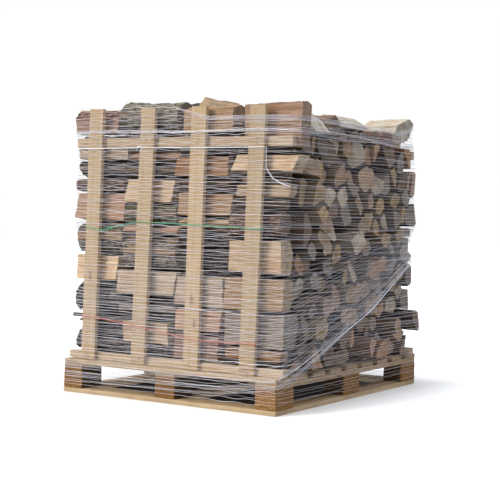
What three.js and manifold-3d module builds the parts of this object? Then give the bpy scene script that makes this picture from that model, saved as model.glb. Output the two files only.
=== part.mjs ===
// A square stack of split firewood on a block pallet, held by two slatted side frames, twine and netting.
// Millimetres, +Z up. X runs along the front frame, Y from the front frame to the back one.

import * as THREE from "three";
import { mergeVertices } from "three/addons/utils/BufferGeometryUtils.js";
import Module from "manifold-3d";

const wasm = await Module();
wasm.setup();

// ---- driving dimensions -------------------------------------------------------------------

const PALLET_WIDTH = 1000; // along X
const PALLET_LENGTH = 1200; // along Y
const GAP = 0.3; // left between pieces that touch

const BASE_BOARD_HEIGHT = 19;
const BASE_BOARD_WIDTH = 92;
const BLOCK_WIDTH = 91;
const BLOCK_LENGTH = 129;
const BLOCK_HEIGHT = 79;
const STRINGER_HEIGHT = 18;
const STRINGER_WIDTH = 92;
const DECK_BOARD_HEIGHT = 19;
const DECK_BOARD_WIDTH = 95;
const DECK_BOARD_COUNT = 9;

const SLAT_WIDTH = 68;
const SLAT_THICKNESS = 20;
const SLAT_LENGTH = 1003;
const SLAT_FACE = 575; // distance of a frame's outer face from the middle
const SLAT_FEET = [-401, -152, 99.5, 352.5];
const SLAT_HEADS = [-378.5, -123, 115, 378];
const TOP_RAIL = { x: [-490, 518], z: [987, 1024.5], depth: 30 };
const BOTTOM_RAIL = { x: [-511, 500], z: [135.4, 165], depth: 41 };

const STACK_REACH = 550; // distance of the stack's long sides from the middle
const STACK_TOP = 1040;
const ROWS = [
  { x: [-470, -243], joints: [136, 160, 280, 320, 448, 560, 686, 808, 864, 936, 984, 1036] },
  { x: [-240, 7], joints: [136, 208, 304, 400, 504, 640, 690, 768, 864, 980, 1036] },
  { x: [10, 262], joints: [136, 168, 272, 368, 496, 608, 650, 712, 816, 872, 952, 1036] },
  { x: [265, 474], joints: [136, 184, 228, 370, 504, 640, 752, 800, 848, 888, 978] },
];
const END_COLUMNS = 9; // log ends side by side on an outer end of the stack
const END_COURSES = 8; // and one above another
const END_SHRINK = 0.93; // leaves the dark joints between the log ends
const CORNER_LOG_BACK = -448; // the tall log at the front right corner sits in a step this deep
const CORNER_LOG_FOOT = 979;

// kind of section, radius, turn in degrees, run, place across the run, lowest point
const TOP_LOGS = [
  { along: "x", kind: "round", r: 48, turn: 0, run: [-512, -296], across: -492, foot: 1040.4 },
  { along: "x", kind: "round", r: 64, turn: 20, run: [-288, -8], across: -478, foot: 1040.4 },
  { along: "x", kind: "block", r: 60, turn: 4, run: [16, 250], across: -490, foot: 1040.4 },
  { along: "y", kind: "peak", r: 146, turn: 0, run: [-432, -190], across: 66, foot: 1040.4 },
  { along: "x", kind: "round", r: 66, turn: 50, run: [-190, -16], across: -346, foot: 1040.4 },
  { along: "x", kind: "slab", r: 104, turn: 0, run: [290, 536], across: -486.3, foot: 979.4 },
  { along: "x", kind: "quarter", r: 92, turn: 225, run: [300, 512], across: -354, foot: 1040.4 },
  { along: "x", kind: "block", r: 58, turn: 12, run: [276, 514], across: -232, foot: 1040.4 },
  { along: "x", kind: "keel", r: 60, turn: 0, run: [298, 500], across: 444, foot: 1046, yaw: -11 },
  { along: "x", kind: "quarter", r: 100, turn: 215, run: [-474, -236], across: -190, foot: 1040.4 },
  { along: "x", kind: "half", r: 72, turn: 0, run: [-228, 12], across: 90, foot: 1040.4 },
  { along: "x", kind: "round", r: 52, turn: 30, run: [22, 270], across: 330, foot: 1040.4 },
  { along: "x", kind: "round", r: 55, turn: 15, run: [158, 292], across: -382, foot: 1040.4 },
  { along: "y", kind: "half", r: 46, turn: 0, run: [-168, 84], across: 452, foot: 1083 },
];
// Logs of the last row that stand above the rest: where each starts and ends along Y, and how far it stands up.
const UPPER_LOGS = [[-150, -70, 42], [-66, 20, 40], [24, 110, 42], [114, 220, 57], [224, 352, 54]];

const TWINE_RADIUS = 1.7;
const GREEN_TWINE = [[-340, 655], [-170, 695], [90, 689]];
const GREEN_ENDS = [670, 680];
const PINK_TWINE = [[-340, 305], [-140, 285], [40, 260], [130, 250]];
const PINK_ENDS = [310, 255];
const WHITE_TWINE = [[-160, 984], [100, 981]];
const WHITE_ENDS = [980, 982];

const NET_THREAD = 1.6;
const NET_PITCH = 44;
const NET_FOOT = 175;
const NET_TOP = 1112;

// ---- helpers ------------------------------------------------------------------------------

const group = new THREE.Group();
group.name = "firewood_pallet";

const PALE = 0xdcc08c;
const DARK_BOARD = 0xb89163;
const BLOCK_COLOUR = 0x96693a;
const BARK = 0x6a5645;
const SPLIT = 0xc49a6c;
const LIGHT_SPLIT = 0xdbbf92;

function add(name, geometry, colour, roughness = 0.85) {
  const material = new THREE.MeshStandardMaterial({ color: colour, roughness, metalness: 0 });
  const mesh = new THREE.Mesh(geometry, material);
  mesh.name = name;
  group.add(mesh);
  return mesh;
}

function box(name, x, y, z, colour) {
  const mesh = add(name, new THREE.BoxGeometry(x[1] - x[0], y[1] - y[0], z[1] - z[0]), colour);
  mesh.position.set((x[0] + x[1]) / 2, (y[0] + y[1]) / 2, (z[0] + z[1]) / 2);
  return mesh;
}

function around(centre, width) {
  return [centre - width / 2, centre + width / 2];
}

// A repeatable number from 0 to 1 for a pair of whole numbers.
function chance(a, b, salt = 0) {
  const s = Math.sin(a * 127.1 + b * 311.7 + salt * 74.7) * 43758.5453;
  return s - Math.floor(s);
}

// A section drawn in Y and Z, carried along X from one end to the other.
function alongX(points, from, to) {
  const shape = new THREE.Shape(points.map(([y, z]) => new THREE.Vector2(y, z)));
  const geometry = new THREE.ExtrudeGeometry(shape, { depth: to - from, bevelEnabled: false });
  const y = new THREE.Vector3(0, 1, 0);
  const z = new THREE.Vector3(0, 0, 1);
  const x = new THREE.Vector3(1, 0, 0);
  geometry.applyMatrix4(new THREE.Matrix4().makeBasis(y, z, x));
  geometry.translate(from, 0, 0);
  return geometry;
}

function toSolid(geometry) {
  const bare = new THREE.BufferGeometry();
  bare.setAttribute("position", geometry.getAttribute("position"));
  if (geometry.index) bare.setIndex(geometry.index);
  const merged = mergeVertices(bare, 1e-3);
  const mesh = new wasm.Mesh({
    numProp: 3,
    vertProperties: new Float32Array(merged.getAttribute("position").array),
    triVerts: new Uint32Array(merged.index.array),
  });
  return new wasm.Manifold(mesh);
}

function toGeometry(solid) {
  const mesh = solid.getMesh();
  const geometry = new THREE.BufferGeometry();
  const places = new Float32Array(mesh.vertProperties);
  geometry.setAttribute("position", new THREE.BufferAttribute(places, 3));
  geometry.setIndex(new THREE.BufferAttribute(new Uint32Array(mesh.triVerts), 1));
  const faceted = geometry.toNonIndexed();
  faceted.computeVertexNormals();
  return faceted;
}

function boxSolid(x, y, z) {
  const geometry = new THREE.BoxGeometry(x[1] - x[0], y[1] - y[0], z[1] - z[0]);
  geometry.translate((x[0] + x[1]) / 2, (y[0] + y[1]) / 2, (z[0] + z[1]) / 2);
  return toSolid(geometry);
}

function joined(solids) {
  return solids.reduce((whole, solid) => whole.add(solid));
}

// Straight runs from point to point. A sweep along it gets one section at every point, turned halfway
// between the run that comes in and the run that goes out.
class StraightRuns extends THREE.Curve {
  constructor(points) {
    super();
    this.points = points.map((p) => new THREE.Vector3(...p));
  }

  getPoint(t, target = new THREE.Vector3()) {
    const place = t * (this.points.length - 1);
    const i = Math.min(Math.floor(place), this.points.length - 2);
    return target.lerpVectors(this.points[i], this.points[i + 1], place - i);
  }

  getPointAt(u, target) {
    return this.getPoint(u, target);
  }

  getTangentAt(u, target = new THREE.Vector3()) {
    const last = this.points.length - 1;
    const i = Math.round(u * last);
    const here = this.points[i];
    const into = here.clone().sub(this.points[Math.max(0, i - 1)]).normalize();
    const out = this.points[Math.min(last, i + 1)].clone().sub(here).normalize();
    return target.copy(into).add(out).normalize();
  }
}

// A thin cord along straight runs.
function cord(points, radius, sides) {
  const ring = [];
  for (let k = 0; k < sides; k++) {
    const a = (2 * Math.PI * (k + 0.5)) / sides;
    ring.push(new THREE.Vector2(radius * Math.cos(a), radius * Math.sin(a)));
  }
  const options = { steps: points.length - 1, extrudePath: new StraightRuns(points) };
  return new THREE.ExtrudeGeometry(new THREE.Shape(ring), options);
}

// ---- pallet -------------------------------------------------------------------------------

const LANES = [
  { name: "left", x: -(PALLET_WIDTH - BLOCK_WIDTH) / 2 },
  { name: "middle", x: 0 },
  { name: "right", x: (PALLET_WIDTH - BLOCK_WIDTH) / 2 },
];
const BLOCK_ROWS = [
  { name: "front", y: -(PALLET_LENGTH - BLOCK_LENGTH) / 2 },
  { name: "mid", y: 0 },
  { name: "back", y: (PALLET_LENGTH - BLOCK_LENGTH) / 2 },
];
const blockFoot = BASE_BOARD_HEIGHT + GAP;
const stringerFoot = BASE_BOARD_HEIGHT + BLOCK_HEIGHT;
const deckFoot = stringerFoot + STRINGER_HEIGHT + GAP;
const deckTop = deckFoot + DECK_BOARD_HEIGHT - GAP;

const fullX = around(0, PALLET_WIDTH);
const frontEdge = -PALLET_LENGTH / 2;
const betweenY = around(0, PALLET_LENGTH - 2 * BASE_BOARD_WIDTH - 2 * GAP);
const baseZ = [0, BASE_BOARD_HEIGHT];
box("bottom_board_front", fullX, [frontEdge, frontEdge + BASE_BOARD_WIDTH], baseZ, PALE);
box("bottom_board_back", fullX, [-frontEdge - BASE_BOARD_WIDTH, -frontEdge], baseZ, PALE);
const outerLane = (PALLET_WIDTH - BASE_BOARD_WIDTH) / 2;
box("bottom_board_left", around(-outerLane, BASE_BOARD_WIDTH), betweenY, baseZ, DARK_BOARD);
box("bottom_board_middle", around(0, BASE_BOARD_WIDTH), betweenY, baseZ, DARK_BOARD);
box("bottom_board_right", around(outerLane, BASE_BOARD_WIDTH), betweenY, baseZ, DARK_BOARD);

for (const row of BLOCK_ROWS) {
  for (const lane of LANES) {
    const z = [blockFoot, blockFoot + BLOCK_HEIGHT - 2 * GAP];
    const name = `block_${row.name}_${lane.name}`;
    box(name, around(lane.x, BLOCK_WIDTH), around(row.y, BLOCK_LENGTH), z, BLOCK_COLOUR);
  }
}

for (const lane of LANES) {
  const x = around(Math.sign(lane.x) * (PALLET_WIDTH - STRINGER_WIDTH) / 2, STRINGER_WIDTH);
  const z = [stringerFoot, stringerFoot + STRINGER_HEIGHT];
  box(`stringer_${lane.name}`, x, around(0, PALLET_LENGTH), z, DARK_BOARD);
}

const deckStep = (PALLET_LENGTH - DECK_BOARD_WIDTH) / (DECK_BOARD_COUNT - 1);
for (let i = 0; i < DECK_BOARD_COUNT; i++) {
  const y = around(frontEdge + DECK_BOARD_WIDTH / 2 + i * deckStep, DECK_BOARD_WIDTH);
  box(`deck_board_${i + 1}`, fullX, y, [deckFoot, deckTop], PALE);
}

// ---- side frames --------------------------------------------------------------------------

function sideFrame(name, side) {
  const outer = SLAT_FACE;
  const inner = SLAT_FACE - SLAT_THICKNESS;
  for (let i = 0; i < SLAT_FEET.length; i++) {
    const lean = Math.atan2(SLAT_HEADS[i] - SLAT_FEET[i], SLAT_LENGTH);
    const size = [SLAT_WIDTH, SLAT_THICKNESS, SLAT_LENGTH];
    const slat = add(`${name}_slat_${i + 1}`, new THREE.BoxGeometry(...size), PALE);
    const rise = (SLAT_LENGTH * Math.cos(lean) + SLAT_WIDTH * Math.sin(Math.abs(lean))) / 2;
    const x = (-side * (SLAT_FEET[i] + SLAT_HEADS[i])) / 2;
    slat.position.set(x, (side * (outer + inner)) / 2, deckTop + 0.4 + rise);
    slat.rotation.y = -side * lean;
  }
  for (const [part, rail] of [["top", TOP_RAIL], ["bottom", BOTTOM_RAIL]]) {
    const far = side * (inner - GAP);
    const near = side * (inner - GAP - rail.depth);
    const y = [Math.min(far, near), Math.max(far, near)];
    const x = side < 0 ? rail.x : [-rail.x[1], -rail.x[0]];
    box(`${name}_rail_${part}`, x, y, rail.z, DARK_BOARD);
  }
}
sideFrame("front", -1);
sideFrame("back", 1);

// ---- stacked logs -------------------------------------------------------------------------

// The outline of one row, bulging at every log: up the front, over the top and down the back.
function rowOutline(joints, index) {
  const cut = index === ROWS.length - 1;
  const points = [];
  const depthAt = (height) => Math.min(26, 0.28 * height);
  for (let i = 1; i < joints.length; i++) {
    const height = joints[i] - joints[i - 1];
    const set = 7 * chance(index, i);
    points.push([-STACK_REACH + set + depthAt(height), joints[i - 1]]);
    points.push([-STACK_REACH + set, joints[i - 1] + 0.25 * height]);
    points.push([-STACK_REACH + set, joints[i - 1] + 0.75 * height]);
  }
  if (cut) {
    points.push([-STACK_REACH + 30, CORNER_LOG_FOOT]);
    points.push([CORNER_LOG_BACK, CORNER_LOG_FOOT]);
  }
  const first = cut ? CORNER_LOG_BACK : -STACK_REACH + 34;
  const logs = cut ? 8 : 9;
  const step = (STACK_REACH - 34 - first) / logs;
  for (let i = 0; i < logs; i++) {
    const y = first + i * step;
    const low = 8 * chance(index, i, 3);
    points.push([y, STACK_TOP - 26]);
    points.push([y + 0.3 * step, STACK_TOP - low]);
    points.push([y + 0.7 * step, STACK_TOP - low]);
  }
  const tall = (STACK_TOP - 30 - 136) / 9;
  for (let i = 9; i > 0; i--) {
    const z = 136 + i * tall;
    const set = 7 * chance(index, i, 5);
    points.push([STACK_REACH - 24, z]);
    points.push([STACK_REACH - set, z - 0.25 * tall]);
    points.push([STACK_REACH - set, z - 0.75 * tall]);
  }
  points.push([STACK_REACH - 24, 136]);
  return points;
}

// The corner of a log end: a brick-like lattice with every corner nudged off its place.
function latticeCorner(course, half, halves) {
  const inside = half > 0 && half < halves;
  const low = 138;
  const high = STACK_TOP - 6;
  const y = -STACK_REACH + 10 + ((2 * STACK_REACH - 20) * half) / halves;
  const z = low + ((high - low) * course) / END_COURSES;
  const level = course > 0 && course < END_COURSES;
  const dy = inside ? 26 * (chance(course, half, 7) - 0.5) : 0;
  const dz = level ? 34 * (chance(course, half, 9) - 0.5) : 0;
  return [y + dy, z + dz];
}

// Every log end seen on one outer side, as its own prism standing out of the row.
function logEnds(side, root, tip) {
  const halves = 2 * END_COLUMNS;
  const ends = [];
  for (let course = 0; course < END_COURSES; course++) {
    const shift = course % 2;
    for (let start = -shift; start < halves; start += 2) {
      const places = [start, start + 1, start + 2].map((h) => Math.min(halves, Math.max(0, h)));
      const stops = [...new Set(places)];
      const under = stops.map((h) => latticeCorner(course, h, halves));
      const over = stops.map((h) => latticeCorner(course + 1, h, halves)).reverse();
      const corners = [...under, ...over];
      const mean = (k) => corners.reduce((sum, p) => sum + p[k], 0) / corners.length;
      const middle = [mean(0), mean(1)];
      const shrunk = corners.map((p) => p.map((v, k) => middle[k] + END_SHRINK * (v - middle[k])));
      const far = side > 0 && middle[0] > 400 ? 24 : 0;
      const reach = tip + 20 * chance(course, start, 11) + far * chance(course, start, 13);
      const run = side > 0 ? [root, reach] : [-reach, -root];
      ends.push(toSolid(alongX(shrunk, run[0], run[1])));
    }
  }
  return ends;
}

// Room for the frames' rails, cut out of a row.
function railRoom() {
  const room = [];
  for (const rail of [TOP_RAIL, BOTTOM_RAIL]) {
    const deep = SLAT_FACE - SLAT_THICKNESS - rail.depth - 1;
    const z = [rail.z[0] - 1, rail.z[1] + 1];
    room.push(boxSolid([-700, 700], [-700, -deep], z));
    room.push(boxSolid([-700, 700], [deep, 700], z));
  }
  const step = [-700, CORNER_LOG_BACK];
  room.push(boxSolid([270, 700], step, [CORNER_LOG_FOOT, 1200]));
  return joined(room);
}

function upperLog([from, to, rise]) {
  const low = STACK_TOP - 12;
  const shoulder = STACK_TOP + 0.45 * rise;
  const top = STACK_TOP + rise;
  const left = [[from, shoulder], [from + 7, low]];
  const right = [[to - 7, low], [to, shoulder]];
  return toSolid(alongX([...left, ...right, [to - 13, top], [from + 10, top]], 276, 489));
}

ROWS.forEach((row, index) => {
  const slab = toSolid(alongX(rowOutline(row.joints, index), row.x[0], row.x[1]));
  const pieces = [slab];
  if (index === 0) pieces.push(...logEnds(-1, -row.x[0] - 5, 473));
  if (index === ROWS.length - 1) pieces.push(...logEnds(1, row.x[1] - 5, 484));
  if (index === ROWS.length - 1) pieces.push(...UPPER_LOGS.map(upperLog));
  const whole = joined(pieces).subtract(railRoom());
  add(`log_row_${index + 1}`, toGeometry(whole), index % 2 ? SPLIT : BARK, 0.95);
});

// ---- logs lying on top --------------------------------------------------------------------

function logSection(kind, r) {
  const arc = (from, to, count) => {
    const points = [];
    for (let i = 0; i <= count; i++) {
      const a = ((from + ((to - from) * i) / count) * Math.PI) / 180;
      points.push([r * Math.cos(a), r * Math.sin(a)]);
    }
    return points;
  };
  if (kind === "round") return arc(0, 330, 11);
  if (kind === "half") return arc(0, 180, 7);
  if (kind === "quarter") return [[0, 0], ...arc(0, 90, 4)];
  if (kind === "peak") {
    const sides = [[0.44 * r, 0.6 * r], [-0.12 * r, r], [-0.46 * r, 0.62 * r]];
    return [[-0.5 * r, 0], [0.52 * r, 0], ...sides];
  }
  if (kind === "keel") {
    const under = [[-r, -0.1 * r], [-0.2 * r, -0.9 * r], [0.5 * r, -0.85 * r]];
    return [...under, [r, 0.6 * r], [0.1 * r, 0.9 * r], [-0.92 * r, 0.75 * r]];
  }
  if (kind === "slab") {
    const halfWidth = 0.36 * r;
    const crown = [[halfWidth, 0.5 * r], [0, 0.9 * r], [-0.3 * r, 0.8 * r]];
    return [[-halfWidth, -0.7 * r], [0.3 * r, -0.7 * r], ...crown];
  }
  return [...arc(28, 62, 2), [-0.82 * r, 0.62 * r], [-0.72 * r, -0.66 * r], [0.74 * r, -0.7 * r]];
}

TOP_LOGS.forEach((log, index) => {
  const turn = (log.turn * Math.PI) / 180;
  const turned = logSection(log.kind, log.r).map(([u, v]) => [
    u * Math.cos(turn) - v * Math.sin(turn),
    u * Math.sin(turn) + v * Math.cos(turn),
  ]);
  const lowest = Math.min(...turned.map((p) => p[1]));
  const reach = turned.map((p) => p[0]);
  const middle = (Math.min(...reach) + Math.max(...reach)) / 2;
  const section = turned.map(([u, v]) => [u - middle + log.across, v - lowest + log.foot]);
  let geometry;
  if (log.along === "x") {
    geometry = alongX(section, log.run[0], log.run[1]);
  } else {
    const mirrored = section.map(([u, v]) => [-u, v]);
    geometry = alongX(mirrored, log.run[0], log.run[1]);
    geometry.rotateZ(Math.PI / 2);
  }
  if (log.yaw) {
    const x = (log.run[0] + log.run[1]) / 2;
    geometry.translate(-x, -log.across, 0);
    geometry.rotateZ((log.yaw * Math.PI) / 180);
    geometry.translate(x, log.across, 0);
  }
  add(`top_log_${index + 1}`, geometry, log.kind === "round" ? BARK : LIGHT_SPLIT, 0.9);
});

// ---- twines -------------------------------------------------------------------------------

function slatEdge(slat, side, z) {
  const share = (z - deckTop) / SLAT_LENGTH;
  const middle = SLAT_FEET[slat] + (SLAT_HEADS[slat] - SLAT_FEET[slat]) * share;
  return middle + side * (SLAT_WIDTH / 2 + 0.6);
}

// Round the outer edge of the first slat, across the front, and round the last slat's edge.
function twinePath(middles, ends) {
  const clear = TWINE_RADIUS + 0.5;
  const front = -SLAT_FACE - clear;
  const left = slatEdge(0, -1, ends[0]) - clear;
  const right = slatEdge(3, 1, ends[1]) + clear;
  const path = [[left, -SLAT_FACE + 14, ends[0]], [left, front, ends[0]]];
  for (const [x, z] of middles) path.push([x, front, z]);
  path.push([right, front, ends[1]], [right, -SLAT_FACE + 14, ends[1]]);
  return path;
}

add("green_twine", cord(twinePath(GREEN_TWINE, GREEN_ENDS), TWINE_RADIUS, 8), 0x4fae84, 0.6);
add("pink_twine", cord(twinePath(PINK_TWINE, PINK_ENDS), TWINE_RADIUS, 8), 0xd98a94, 0.6);
const whitePath = twinePath(WHITE_TWINE, WHITE_ENDS);
const tail = [[413, -562, 915], [440, -559, 868], [478, -556, 848], [506, -555.5, 841]];
whitePath.push(...tail);
add("white_twine", cord(whitePath, TWINE_RADIUS, 8), 0xe9eaee, 0.6);

// ---- net ----------------------------------------------------------------------------------

// How far the near right corner stands out at a height: the top log there reaches furthest.
function cornerReach(z) {
  const table = [[0, 514], [800, 518], [850, 532], [920, 548], [975, 553], [1300, 553]];
  let i = 1;
  while (table[i][0] < z) i++;
  const share = (z - table[i - 1][0]) / (table[i][0] - table[i - 1][0]);
  return table[i - 1][1] + share * (table[i][1] - table[i - 1][1]);
}

function netPath() {
  const front = -SLAT_FACE - 5.4;
  const points = [];
  const turns = Math.floor((NET_TOP - NET_FOOT) / NET_PITCH);
  for (let turn = 0; turn < turns; turn++) {
    for (let corner = 0; corner < 8; corner++) {
      const z = NET_FOOT + (turn + corner / 8) * NET_PITCH;
      const lane = [
        [-442, front],
        [418, front],
        [cornerReach(z), -557],
        [552, 557],
        [442, -front],
        [-418, -front],
        [-521, 556],
        [-521, -556],
      ][corner];
      points.push([lane[0], lane[1], z]);
    }
  }
  return points;
}

add("net_wrap", cord(netPath(), NET_THREAD / 2, 4), 0xe6e2ea, 0.5);

export default group;
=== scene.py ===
import math

import bpy
import numpy as np
from mathutils import Matrix, Vector


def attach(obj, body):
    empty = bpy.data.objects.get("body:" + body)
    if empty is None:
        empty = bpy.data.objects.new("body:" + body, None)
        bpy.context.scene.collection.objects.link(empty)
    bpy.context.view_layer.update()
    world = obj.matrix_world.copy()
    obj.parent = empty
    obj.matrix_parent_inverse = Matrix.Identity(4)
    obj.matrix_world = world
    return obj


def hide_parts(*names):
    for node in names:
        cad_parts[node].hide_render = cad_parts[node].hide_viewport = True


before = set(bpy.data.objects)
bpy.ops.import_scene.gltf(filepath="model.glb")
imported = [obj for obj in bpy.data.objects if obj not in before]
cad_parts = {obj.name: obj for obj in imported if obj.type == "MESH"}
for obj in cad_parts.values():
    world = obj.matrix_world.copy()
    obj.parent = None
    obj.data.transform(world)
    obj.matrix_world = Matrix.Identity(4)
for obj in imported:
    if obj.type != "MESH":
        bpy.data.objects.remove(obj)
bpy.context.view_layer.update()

# Everything below is worked out in millimetres in the row frame and becomes metres when a mesh is made.

# ---- colours (linear) -----------------------------------------------------------------------

WOOD = {
    "cream": (0.61, 0.465, 0.315),
    "pale": (0.50, 0.42, 0.33),
    "tan": (0.38, 0.265, 0.17),
    "yellow": (0.37, 0.26, 0.13),
    "pink": (0.43, 0.29, 0.21),
    "orange": (0.40, 0.24, 0.135),
    "mauve": (0.32, 0.21, 0.17),
    "grey": (0.27, 0.23, 0.20),
    "brown": (0.18, 0.125, 0.09),
    "white": (0.60, 0.56, 0.49),
    "maroon": (0.25, 0.12, 0.105),
}
BARK = {
    "bark": (0.115, 0.085, 0.070),
    "dark": (0.050, 0.043, 0.044),
    "red": (0.12, 0.072, 0.057),
    "moss": (0.125, 0.125, 0.075),
    "lichen": (0.165, 0.155, 0.125),
    "greybark": (0.155, 0.135, 0.118),
}
PRESSED_WOOD = (0.20, 0.108, 0.039)
STEEL = (0.16, 0.15, 0.15)
PINE = (0.48, 0.37, 0.24)
DULL_PINE = (0.42, 0.31, 0.20)
RAIL_PINE = (0.51, 0.405, 0.29)
NET_WHITE = (0.86, 0.87, 0.95)
# What the log ends on the sides are picked from.
END_WOODS = [
    "tan", "grey", "brown", "tan", "yellow", "grey", "pale", "orange", "brown", "yellow", "pink", "orange",
]
SKINS = ["bark", "dark", "greybark", "bark", "red", "lichen", "dark"]

# ---- stack layout ---------------------------------------------------------------------------

# How far the slats' outer faces are from the middle along Y.
SLAT_FACE = 575
# A trunk's radius for a split log that has no bark: so wide that the bark is nowhere near.
NO_BARK = 1e6
# Where the front logs' faces are along Y, between the slats and behind the top rail, and the lower edge of
# that rail.
FRONT_FACE = -549
FACE_BEHIND_RAIL = -520
RAIL_LOW = 984
# The section of the stack behind the front logs: from, to along Y, then its bottom and top.
NEAR, FAR, LOW, HIGH = -440, 548, 139, 1036
# The back frame's rails: bottom, top, and the furthest that logs at that height may reach along Y.
BACK_RAILS = [(130, 169, 509), (983, 1028, 522)]
# Where each row of logs starts and ends along X.
ROW_RUNS = [(-474, -244), (-238, 4), (12, 260), (268, 499)]

# The logs that show between the front slats, one list per row, lowest first: bottom, top, shape (r round
# bark, b flat curved bark, s split face, w wedge), wood, bark, where it starts and ends along X if that
# differs from its row, and how far each end leans along X per millimetre of height.
FRONT_LOGS = [
    [
        (168, 280, "r", "brown", "dark", -488, -250, 0.36, 0.0), (284, 299, "w", "brown", "bark"),
        (300, 317, "r", "brown", "dark", -508, -380), (322, 446, "r", "grey", "dark", -497, -284, 0.05, 0.1),
        (450, 558, "s", "cream", "bark", -491, -290, 0.0, 0.08),
        (562, 686, "b", "tan", "greybark", -487, -262),
        (690, 806, "s", "pink", "bark", -509, -258, 0.17, 0.05),
        (811, 862, "b", "brown", "bark", -500, -262),
        (866, 934, "r", "grey", "dark", -484, -250, -0.45, 0.1),
        (938, 984, "s", "pale", "greybark", -494, -240),
        (990, 1036, "b", "tan", "dark", -486, -244),
    ],
    [
        (168, 206, "b", "brown", "dark", -244, 0), (210, 302, "s", "cream", "bark", -252, -34, -0.1, -0.12),
        (306, 398, "r", "grey", "dark", -278, 2), (402, 502, "s", "pale", "bark", -284, -6, 0.0, 0.1),
        (506, 638, "b", "tan", "greybark", -256, 2), (642, 686, "w", "pink", "bark", -264, 0),
        (692, 765, "b", "brown", "moss", -252, -4), (768, 864, "s", "cream", "bark", -250, -24, 0.22, 0.20),
        (868, 922, "b", "brown", "dark", -256, -4), (926, 982, "w", "pink", "red", -244, 2),
        (990, 1036, "b", "tan", "dark"),
    ],
    [
        (168, 270, "s", "mauve", "red", 4, 205), (274, 366, "s", "pink", "bark", 4, 214, 0.0, 0.1),
        (370, 494, "s", "pale", "bark", 0, 218, 0.1, -0.05), (498, 608, "r", "brown", "dark", 10, 232),
        (612, 670, "b", "orange", "dark", 8, 232), (674, 714, "w", "cream", "bark", 8, 250, 0.0, 0.8),
        (718, 814, "s", "tan", "bark", 4, 246, 0.05, 0.05), (818, 870, "w", "brown", "red", 4, 232),
        (874, 950, "s", "orange", "bark", -10, 231, 0.1, 0.0), (954, 984, "b", "brown", "dark", 8, 240),
        (990, 1036, "b", "tan", "greybark"),
    ],
    [
        (168, 183, "b", "brown", "dark", 214, 480), (186, 230, "s", "orange", "bark", 236, 478, 0.1, 0.15),
        (234, 368, "s", "grey", "greybark", 222, 488), (372, 500, "s", "tan", "bark", 226, 478),
        (505, 640, "s", "cream", "bark", 239, 468, 0.0, -0.04), (650, 750, "r", "brown", "red", 240, 462),
        (754, 797, "w", "brown", "bark", 256, 480), (800, 846, "s", "cream", "bark", 270, 500, 0.15, 0.18),
        (851, 867, "w", "cream", "bark", 290, 482, 0.0, 0.5), (870, 886, "b", "brown", "dark", 250, 500),
        (890, 958, "s", "cream", "bark", 257, 522, 0.42, 0.44), (962, 978, "b", "brown", "dark", 262, 516),
    ],
]
# Heights at which log ends stand out at the far right corner, and how far.
FAR_ENDS = [(240, 345, 52), (500, 545, 18), (690, 800, 10)]
# Logs of the last row that stand above the rest: from, to (along Y), top, wood.
UPPER_LOGS = [
    (-152, -72, 1078, "brown"), (-68, 18, 1086, "brown"), (22, 108, 1090, "grey"), (112, 218, 1091, "brown"),
    (222, 350, 1096, "maroon"),
]
# Middles (Y, Z) and woods of the log ends that stand out on the right side.
RIGHT_ENDS = [
    (-292, 1000, "grey"), (-148, 892, "tan"), (92, 880, "tan"), (192, 860, "pale"),
    (-336, 812, "yellow"), (-120, 812, "pale"), (24, 776, "tan"), (66, 690, "tan"),
    (-248, 700, "tan"), (500, 736, "grey"), (-280, 640, "tan"), (-320, 496, "grey"),
    (-20, 508, "pale"), (112, 528, "grey"), (492, 300, "brown"), (250, 178, "orange"),
    (-380, 930, "tan"), (-210, 220, "brown"), (330, 600, "grey"), (-60, 330, "tan"),
]

# Logs of the first row that lie across the gaps between its front logs, so that no light comes through:
# where they are along Y, and their heights.
BEHIND_GAPS_Y = -412
BEHIND_GAPS = [205, 305, 392, 448, 505, 560, 625, 688, 750, 809, 864, 936, 987]

# ---- noise and polygons ---------------------------------------------------------------------


def smooth_noise(rng, rows, columns, along=1, around=1):
    """Random numbers of unit spread, averaged with their neighbours along the rows, which have two ends, and
    around the columns, which close on themselves."""
    values = rng.normal(size=(rows, columns))
    for _ in range(around):
        values = values + 0.5 * (np.roll(values, 1, 1) + np.roll(values, -1, 1))
    for _ in range(along):
        padded = np.concatenate([values[:1], values, values[-1:]])
        values = values + 0.5 * (padded[:-2] + padded[2:])
    return values / max(values.std(), 1e-9)


def clip(polygon, normal, limit):
    """The part of a convex polygon where point . normal is at most limit."""
    kept = []
    for i, p in enumerate(polygon):
        q = polygon[(i + 1) % len(polygon)]
        a = p[0] * normal[0] + p[1] * normal[1] - limit
        b = q[0] * normal[0] + q[1] * normal[1] - limit
        if a <= 0:
            kept.append(p)
        if (a < 0 < b) or (b < 0 < a):
            t = a / (a - b)
            kept.append((p[0] + t * (q[0] - p[0]), p[1] + t * (q[1] - p[1])))
    return kept


def area_and_middle(polygon):
    """Half the sum of the cross products of neighbouring points, and the middle of the area they enclose."""
    p = np.array(polygon)
    q = np.roll(p, -1, 0)
    cross = p[:, 0] * q[:, 1] - q[:, 0] * p[:, 1]
    area = cross.sum() / 2
    if abs(area) < 1:
        return 0.0, p.mean(0)
    return area, ((p + q) * cross[:, None]).sum(0) / (6 * area)


def voronoi(seeds, region, gap):
    """For every seed, the part of the region nearer to it than to any other seed, less half a gap all round.
    Only the 17 nearest seeds are asked."""
    found = []
    spots = np.array(seeds)
    for i, seed in enumerate(spots):
        polygon = list(region)
        away = spots - seed
        distance = np.hypot(away[:, 0], away[:, 1])
        for j in np.argsort(distance)[1:18]:
            normal = away[j] / distance[j]
            polygon = clip(polygon, normal, normal @ seed + distance[j] / 2 - gap / 2)
            if len(polygon) < 3:
                break
        found.append(polygon)
    return found


# ---- meshes ---------------------------------------------------------------------------------

cloud = []  # every solid's points, for the net to be laid over


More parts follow.
